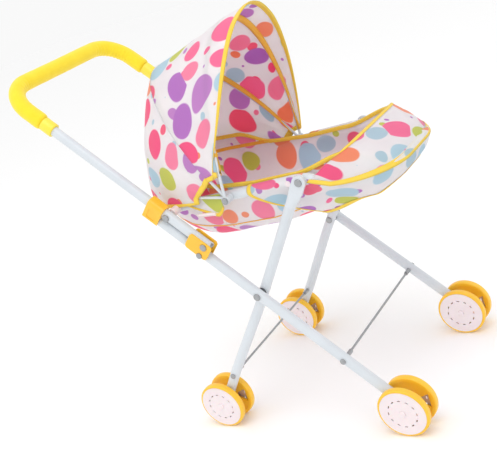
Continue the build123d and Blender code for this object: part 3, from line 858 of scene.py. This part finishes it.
panel_middle = Vector((0.12, 0, 0.33))
panel_cloth = cloth_grid("seat_side_panel", 120, 40, side_panel, (0.12, 0.13))
panel_area = cloth_area(panel_cloth)
finish_cloth(panel_cloth, polyester, PANEL_PLY, "seat_frame")
tape(
    "panel_seam_binding",
    side_panel,
    panel_middle,
    along_edge(1, 105 * MM, -1),
    RIM_BINDING,
    120,
    "seat_frame",
)
for side_name, edge, inward in SIDES:
    tape(
        f"sleeve_end_binding_{side_name}",
        side_panel,
        panel_middle,
        across_edge(edge, 470 * MM, inward, 0.05, 1.0),
        6 * MM,
        30,
        "seat_frame",
        0.45 * MM,
    )
print("panel area", round(panel_area, 4))

# %% [markdown]
# The foot apron roofs the front of the seat. Its bound rear edge is an arch, and from there the
# cloth falls forward to a bound edge on the rail, with a soft crown in the middle.

# %% Foot apron
APRON_START = rear_axle_x + 232 * MM
APRON_TOP = rear_axle_x + 287 * MM
APRON_HALF = 84 * MM
SWEPT_BACK = 26 * MM
ARCH_FOOT, ARCH_RISE = 362 * MM, 15 * MM
CROWN = 5 * MM
CREASE = 1.6 * MM
APRON_PLY = 0.5 * MM


def apron(across, along):
    """From the rear arch forward and down to the rail."""
    lap = math.pi * across
    wide = -APRON_HALF * math.copysign(abs(math.cos(lap)) ** 0.34, math.cos(lap))
    lift = max(math.sin(lap), 0.0) ** 0.36
    arch = Vector((APRON_TOP - SWEPT_BACK * (1 - lift), wide, ARCH_FOOT + ARCH_RISE * lift))
    spot = rail_plan(across, APRON_START, SLEEVE * 1.08)[0]
    edge = Vector((spot.x, spot.y, rail_height(spot.x)))
    free = math.sin(math.pi * along)
    crown = free * CROWN * lift
    crease = CREASE * noise.noise(Vector((across * 7, along * 4, 2.2))) * free
    return arch.lerp(edge, along) + Vector((0, 0, crown + crease))


apron_cloth = cloth_grid("apron_cloth", 90, 30, apron, (0.4, 0.33))
apron_area = cloth_area(apron_cloth)
finish_cloth(apron_cloth, polyester, APRON_PLY, "seat_frame")
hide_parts("foot_apron")
apron_middle = Vector((0.2, 0, 0.30))
for edge_name, edge, inward, width in (
    ("rear", 0, 1, RIM_BINDING),
    ("front", 1, -1, BINDING),
):
    tape(
        f"apron_{edge_name}_binding",
        apron,
        apron_middle,
        along_edge(edge, 62 * MM, inward),
        width,
        110,
        "seat_frame",
    )
print("apron area", round(apron_area, 4))

# %% [markdown]
# At each side a bound tongue of cloth hangs over the rail under the hood's hinge. It is lowest
# towards the front, where the white toggle sits behind it.

# %% Side tongues
TONGUE_START, TONGUE_LENGTH = 25, 73
TONGUE_TOP, TONGUE_HEEL, TONGUE_DROP, TONGUE_RISE = 345, 340, 28, 13
TONGUE_LOWEST, TONGUE_TURN = 0.85, 0.72
TONGUE_SIDE = 99.6 * MM
for side_name, side in (("left", 1), ("right", -1)):

    def tongue(across, along, side=side):
        mm = TONGUE_START + TONGUE_LENGTH * across
        tip = max(0.0, (across - TONGUE_TURN) / (1 - TONGUE_TURN)) ** 2.5
        bottom = TONGUE_HEEL - TONGUE_DROP * min(1.0, across / TONGUE_LOWEST) + TONGUE_RISE * tip
        z = (TONGUE_TOP + (bottom - TONGUE_TOP) * along) * MM
        y = TONGUE_SIDE + 0.4 * MM * math.sin(5 * along + 4 * across)
        return Vector((rear_axle_x + mm * MM, side * y, z))

    tongue_cloth = cloth_grid(f"side_tongue_{side_name}", 30, 24, tongue, (0.07, 0.09))
    finish_cloth(tongue_cloth, polyester, APRON_PLY, "seat_frame")
    if side > 0:
        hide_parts("side_tabs")
    inside = Vector((rear_axle_x + 67 * MM, 0, 0.33))
    tape(
        f"tongue_binding_{side_name}",
        tongue,
        inside,
        along_edge(1, 26 * MM, -1),
        4.5 * MM,
        40,
        "seat_frame",
        0.6 * MM,
    )
print("tongues ready")

# %% [markdown]
# The grip is a foam tube pushed over the top of the handle. It is one ring swept round the
# handle's path. Its ends round in to the collars, and the foam is squeezed into faint folds on
# the inside of each bend.

# %% Foam grip
grip_low, grip_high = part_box("handle_grip")
GRIP = 12 * MM
HANDLE_CORNER = 45 * MM
GRIP_SIDE = 73 * MM
HANDLE_HALF = 122 * MM
lean = math.radians(46)
down_handle = Vector((math.cos(lean), 0, -math.sin(lean)))
bar_middle = Vector((grip_low.x + GRIP, 0, grip_high.z - GRIP))


def handle_path(share):
    """Point on the handle, outward direction, whether it bends there, distance from the end."""
    straight = GRIP_SIDE - HANDLE_CORNER
    bend = HANDLE_CORNER * math.pi / 2
    half_bar = HANDLE_HALF - HANDLE_CORNER
    total = 2 * (straight + bend + half_bar)
    walk, mirror = total * share, 1
    if walk > total / 2:
        walk, mirror = total - walk, -1
    if walk <= straight:
        low, wide, out = GRIP_SIDE - walk, -HANDLE_HALF, (-1.0, 0.0)
    elif walk <= straight + bend:
        turn = (walk - straight) / HANDLE_CORNER
        out = (-math.cos(turn), -math.sin(turn))
        low = HANDLE_CORNER * (1 - math.sin(turn))
        wide = -half_bar - HANDLE_CORNER * math.cos(turn)
    else:
        low, wide, out = 0.0, -half_bar + walk - straight - bend, (0.0, -1.0)
    spot = bar_middle + down_handle * low + Vector((0, wide * mirror, 0))
    away = Vector((0, out[0] * mirror, 0)) + down_handle * out[1]
    bent = 1.0 if straight < walk < straight + bend else 0.0
    return spot, away, bent, walk


def grip_skin(across, along):
    """Foam ring swept along the handle's path."""
    spot, away, bent, from_end = handle_path(along)
    side = down_handle.cross(Vector((0, 1, 0))).normalized()
    turn = 2 * math.pi * across
    out = away * math.cos(turn) + side * math.sin(turn)
    end = min(1.0, from_end / (5 * MM))
    rounding = math.sqrt(max(0.0, 1 - (1 - end) ** 2))
    radius = TUBE + 0.2 * MM + (GRIP - 0.5 * MM - TUBE) * rounding
    radius += 0.3 * MM * noise.noise(spot / 0.012 + out)
    folds = max(0.0, -math.cos(turn)) * bent * 0.35 * MM * math.sin(from_end / MM * 0.9)
    return spot + out * (radius - folds)


grip = cloth_grid("foam_grip", 40, 260, grip_skin)
bpy.context.view_layer.objects.active = grip
grip_mesh = bmesh.new()
grip_mesh.from_mesh(grip.data)
bmesh.ops.remove_doubles(grip_mesh, verts=grip_mesh.verts, dist=0.01 * MM)
bmesh.ops.recalc_face_normals(grip_mesh, faces=grip_mesh.faces)
grip_mesh.to_mesh(grip.data)
grip_mesh.free()
bpy.ops.object.shade_smooth()
grip.data.materials.clear()
grip.data.materials.append(grip_foam)
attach(grip, "handle")
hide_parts("handle_grip")
print("grip faces", len(grip.data.polygons))

# %% [markdown]
# The tub's cloth and its rim, head and floor tapes each get a mesh of their own.


def tapes_of(*words):
    """Every tape whose name starts with one of these words."""
    names = sorted(o.name for o in bpy.context.scene.objects if o.type == "MESH")
    return [n for n in names if any(n.startswith(word) for word in words)]


for soft in [seat_cloth.name] + tapes_of("seat_rim", "head_seam", "floor_seam"):
    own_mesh(bpy.data.objects[soft])

# %% [markdown]
# The set is a large sheet of white paper under soft, even light from above and from the
# camera's left, with a long lens a little above the handle's height.

# %% Stage, light and camera
bpy.ops.object.select_all(action="DESELECT")
PAPER_SIZE = 12
bpy.ops.mesh.primitive_plane_add(size=PAPER_SIZE)
floor = bpy.context.object
floor.name = "studio_floor"
paper = bpy.data.materials.new("white_studio_paper")
paper.use_nodes = True
paper_skin = paper.node_tree.nodes["Principled BSDF"]
paper_skin.inputs["Base Color"].default_value = srgb("FFFFFF")
paper_skin.inputs["Roughness"].default_value = 0.9
floor.data.materials.append(paper)

world = bpy.data.worlds.new("studio")
bpy.context.scene.world = world
world.use_nodes = True
world.node_tree.nodes["Background"].inputs["Color"].default_value = srgb("FFFFFF")
world.node_tree.nodes["Background"].inputs["Strength"].default_value = 0.95


def soft_box(name, spot, aim, size, power):
    """Large square lamp that faces a point."""
    bpy.ops.object.light_add(type="AREA", location=spot)
    lamp = bpy.context.object
    lamp.name = name
    lamp.data.size = size
    lamp.data.energy = power
    lamp.rotation_euler = (Vector(aim) - Vector(spot)).to_track_quat("-Z", "Y").to_euler()


soft_box("key", (0.5, -0.9, 2.6), (0, 0, 0.2), 1.6, 15)
soft_box("fill", (-1.6, -1.6, 0.9), (0, 0, 0.3), 1.6, 3)

LENS = 64.24
AZIMUTH, ELEVATION, ROLL = 37.24, 18.99, -19.73
camera_data = bpy.data.cameras.new("camera")
camera = bpy.data.objects.new("camera", camera_data)
bpy.context.scene.collection.objects.link(camera)
camera_data.sensor_width = 36
camera_data.lens = LENS
camera.matrix_world = (
    Matrix.Translation((0.7126, -0.9692, 0.6731))
    @ Matrix.Rotation(math.radians(AZIMUTH), 4, "Z")
    @ Matrix.Rotation(math.radians(90 - ELEVATION), 4, "X")
    @ Matrix.Rotation(math.radians(ROLL), 4, "Z")
)
bpy.context.scene.camera = camera
bpy.context.scene.view_settings.view_transform = "Standard"
print("camera", [round(v, 3) for v in camera.location])
